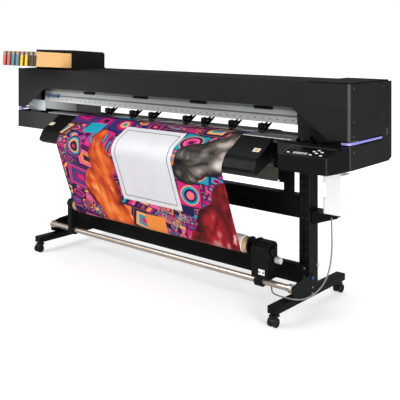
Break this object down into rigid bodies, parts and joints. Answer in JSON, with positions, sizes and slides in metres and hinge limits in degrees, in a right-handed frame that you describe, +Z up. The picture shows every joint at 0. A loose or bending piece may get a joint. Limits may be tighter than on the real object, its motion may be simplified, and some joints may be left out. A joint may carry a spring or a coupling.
{
  "type": "printer cutter",
  "caption": "Wide roll-to-roll print-and-cut machine on a castered stand, with rail carriage, pinch-and-grit feed, ink cartons, console and motorised take-up reel.",
  "frame": {"origin": "middle of the bounding box bottom face, on the floor under the four casters", "axes": "+X along the machine to the operator's right, -Y towards the operator, +Z up"},
  "size_m": [2.775, 0.788, 1.41],
  "materials": {
    "black_steel": "satin black powder coat",
    "bright_aluminium": "brushed extrusion",
    "zinc_steel": "zinc-plated sheet",
    "black_plastic": "fine moulded texture",
    "tan_board": "wound cardboard",
    "media_white": "smooth coated film",
    "printed_media": "colour print on coated film",
    "platen_grey": "satin anodised",
    "apron_black": "satin paint",
    "black_rubber": "matte",
    "blue_plastic": "moulded",
    "housing_black": "fine textured paint",
    "led_violet": "frosted light guide",
    "console_grey": "fine moulded texture",
    "panel_black": "gloss film",
    "key_white": "smooth",
    "bottle_clear": "translucent",
    "cable_grey": "smooth jacket",
    "caster_plastic": "smooth nylon",
    "carton_magenta": "printed carton",
    "carton_cyan": "printed carton",
    "carton_yellow": "printed carton",
    "carton_black": "printed carton"
  },
  "bodies": {
    "root": {"base_frame": "zinc_steel", "console": "console_grey", "drive_belt": "black_rubber", "end_cover_left": "housing_black", "end_cover_right": "housing_black", "feed_motor": "black_steel", "feet": "black_steel", "front_apron": "apron_black", "front_fascia": "housing_black", "guide_tube": "bright_aluminium", "ink_station": "housing_black", "key_panel": "panel_black", "led_strips": "led_violet", "legs": "black_steel", "lower_beam": "black_steel", "media_web": "printed_media", "platen": "platen_grey", "rail_beam": "bright_aluminium", "rear_cover": "housing_black", "rear_guide": "apron_black", "screws": "zinc_steel", "signal_cable": "cable_grey", "stand_plates": "black_steel", "takeup_housing": "black_plastic", "top_cover": "housing_black", "upper_beam": "black_steel"},
    "carriage": {"carriage": "black_plastic"},
    "cutter": {"cutter_holder": "black_plastic"},
    "lever": {"clamp_lever": "blue_plastic"},
    "pinch_frame": {"pinch_bar": "black_steel"},
    "pinch_rollers": {"pinch_wheels": "black_rubber"},
    "grit_shaft": {"grit_roller": "zinc_steel"},
    "drive_pulley": {"drive_pulley": "zinc_steel"},
    "idler_pulley": {"idler_pulley": "zinc_steel"},
    "takeup": {"takeup_flange": "black_plastic", "takeup_core": "tan_board", "takeup_roll": "media_white"},
    "left_holder": {"core_holder_left": "black_plastic"},
    "left_flange": {"core_flange_left": "black_plastic"},
    "takeup_switch": {"takeup_switch": "key_white"},
    "supply": {"supply_roll": "media_white", "supply_shaft": "black_plastic"},
    "service_lid": {"service_lid": "housing_black"},
    "bottle": {"waste_bottle": "bottle_clear"},
    "power_key": {"power_key": "key_white"},
    "function_keys": {"function_keys": "black_plastic"},
    "enter_key": {"enter_key": "key_white"},
    "jog_keys": {"jog_keys": "key_white"},
    "cartons_magenta": {"ink_cartons_magenta": "carton_magenta"},
    "cartons_cyan": {"ink_cartons_cyan": "carton_cyan"},
    "cartons_yellow": {"ink_cartons_yellow": "carton_yellow"},
    "cartons_black": {"ink_cartons_black": "carton_black"},
    "fork_front_left": {"caster_fork_front_left": "caster_plastic"},
    "wheels_front_left": {"caster_wheels_front_left": "black_rubber"},
    "fork_front_right": {"caster_fork_front_right": "caster_plastic"},
    "wheels_front_right": {"caster_wheels_front_right": "black_rubber"},
    "fork_rear_left": {"caster_fork_rear_left": "caster_plastic"},
    "wheels_rear_left": {"caster_wheels_rear_left": "black_rubber"},
    "fork_rear_right": {"caster_fork_rear_right": "caster_plastic"},
    "wheels_rear_right": {"caster_wheels_rear_right": "black_rubber"}
  },
  "joints": [
    {"name": "carriage_slide", "type": "slide", "parent": "root", "child": "carriage", "axis": [1, 0, 0], "range_m": [-2.38, 0]},
    {"name": "cutter_down", "type": "slide", "parent": "carriage", "child": "cutter", "axis": [0, 0, -1], "range_m": [0, 0.003], "stiffness_N_per_m": 2000},
    {"name": "clamp_lever_turn", "type": "hinge", "parent": "root", "child": "lever", "pos_m": [-1.09, -0.147, 1.079], "axis": [0, 1, 0], "range_deg": [0, 35]},
    {"name": "pinch_lift", "type": "hinge", "parent": "root", "child": "pinch_frame", "pos_m": [0, -0.02, 1.038], "axis": [1, 0, 0], "range_deg": [-6, 0]},
    {"name": "pinch_roll", "type": "hinge", "parent": "pinch_frame", "child": "pinch_rollers", "pos_m": [0, -0.107, 0.9786], "axis": [1, 0, 0], "continuous": true},
    {"name": "grit_spin", "type": "hinge", "parent": "root", "child": "grit_shaft", "pos_m": [0, -0.107, 0.956], "axis": [1, 0, 0], "continuous": true},
    {"name": "drive_pulley_spin", "type": "hinge", "parent": "root", "child": "drive_pulley", "pos_m": [1.35, -0.112, 1.195], "axis": [0, 0, 1], "range_deg": [-9800, 1]},
    {"name": "idler_pulley_spin", "type": "hinge", "parent": "root", "child": "idler_pulley", "pos_m": [-1.35, -0.112, 1.195], "axis": [0, 0, 1], "range_deg": [-9800, 1]},
    {"name": "takeup_spin", "type": "hinge", "parent": "root", "child": "takeup", "pos_m": [0, -0.172, 0.35], "axis": [1, 0, 0], "continuous": true},
    {"name": "left_holder_slide", "type": "slide", "parent": "root", "child": "left_holder", "axis": [-1, 0, 0], "range_m": [0, 0.13]},
    {"name": "left_flange_spin", "type": "hinge", "parent": "left_holder", "child": "left_flange", "pos_m": [-0.77, -0.172, 0.35], "axis": [1, 0, 0], "continuous": true},
    {"name": "takeup_switch_tilt", "type": "hinge", "parent": "root", "child": "takeup_switch", "pos_m": [0.858, -0.219, 0.233], "axis": [1, 0, 0], "range_deg": [-10, 10]},
    {"name": "supply_spin", "type": "hinge", "parent": "root", "child": "supply", "pos_m": [0, 0.173, 0.725], "axis": [1, 0, 0], "continuous": true},
    {"name": "service_lid_hinge", "type": "hinge", "parent": "root", "child": "service_lid", "pos_m": [1.26, 0.23, 1.2755], "axis": [-1, 0, 0], "range_deg": [0, 75]},
    {"name": "bottle_pull", "type": "slide", "parent": "root", "child": "bottle", "axis": [1, 0, 0], "range_m": [0, 0.12]},
    {"name": "cartons_magenta_pull", "type": "slide", "parent": "root", "child": "cartons_magenta", "axis": [0, -0.9978, 0.0663], "range_m": [0, 0.11]},
    {"name": "cartons_cyan_pull", "type": "slide", "parent": "root", "child": "cartons_cyan", "axis": [0, -0.9978, 0.0663], "range_m": [0, 0.11]},
    {"name": "cartons_yellow_pull", "type": "slide", "parent": "root", "child": "cartons_yellow", "axis": [0, -0.9978, 0.0663], "range_m": [0, 0.11]},
    {"name": "cartons_black_pull", "type": "slide", "parent": "root", "child": "cartons_black", "axis": [0, -0.9978, 0.0663], "range_m": [0, 0.11]},
    {"name": "power_key_press", "type": "slide", "parent": "root", "child": "power_key", "axis": [0, 0.2778, -0.9606], "range_m": [0, 0.0008], "stiffness_N_per_m": 600},
    {"name": "function_keys_press", "type": "slide", "parent": "root", "child": "function_keys", "axis": [0, 0.2778, -0.9606], "range_m": [0, 0.0008], "stiffness_N_per_m": 600},
    {"name": "enter_key_press", "type": "slide", "parent": "root", "child": "enter_key", "axis": [0, 0.2778, -0.9606], "range_m": [0, 0.0008], "stiffness_N_per_m": 600},
    {"name": "jog_keys_press", "type": "slide", "parent": "root", "child": "jog_keys", "axis": [0, 0.2778, -0.9606], "range_m": [0, 0.0008], "stiffness_N_per_m": 600},
    {"name": "swivel_front_left", "type": "hinge", "parent": "root", "child": "fork_front_left", "pos_m": [-0.9935, -0.286, 0.05], "axis": [0, 0, 1], "continuous": true},
    {"name": "roll_front_left", "type": "hinge", "parent": "fork_front_left", "child": "wheels_front_left", "pos_m": [-0.9935, -0.304, 0.025], "axis": [1, 0, 0], "continuous": true},
    {"name": "swivel_front_right", "type": "hinge", "parent": "root", "child": "fork_front_right", "pos_m": [0.9935, -0.286, 0.05], "axis": [0, 0, 1], "continuous": true},
    {"name": "roll_front_right", "type": "hinge", "parent": "fork_front_right", "child": "wheels_front_right", "pos_m": [0.9935, -0.304, 0.025], "axis": [1, 0, 0], "continuous": true},
    {"name": "swivel_rear_left", "type": "hinge", "parent": "root", "child": "fork_rear_left", "pos_m": [-0.9935, 0.351, 0.05], "axis": [0, 0, 1], "continuous": true},
    {"name": "roll_rear_left", "type": "hinge", "parent": "fork_rear_left", "child": "wheels_rear_left", "pos_m": [-0.9935, 0.369, 0.025], "axis": [1, 0, 0], "continuous": true},
    {"name": "swivel_rear_right", "type": "hinge", "parent": "root", "child": "fork_rear_right", "pos_m": [0.9935, 0.351, 0.05], "axis": [0, 0, 1], "continuous": true},
    {"name": "roll_rear_right", "type": "hinge", "parent": "fork_rear_right", "child": "wheels_rear_right", "pos_m": [0.9935, 0.369, 0.025], "axis": [1, 0, 0], "continuous": true}
  ],
  "couplings": [
    {"joint": "pinch_lift", "follows": "clamp_lever_turn", "ratio": -0.17143},
    {"joint": "pinch_roll", "follows": "grit_spin", "ratio": -1.3333},
    {"joint": "drive_pulley_spin", "follows": "carriage_slide", "rad_per_m": 71.429},
    {"joint": "idler_pulley_spin", "follows": "carriage_slide", "rad_per_m": 71.429},
    {"joint": "left_flange_spin", "follows": "takeup_spin", "ratio": 1}
  ]
}
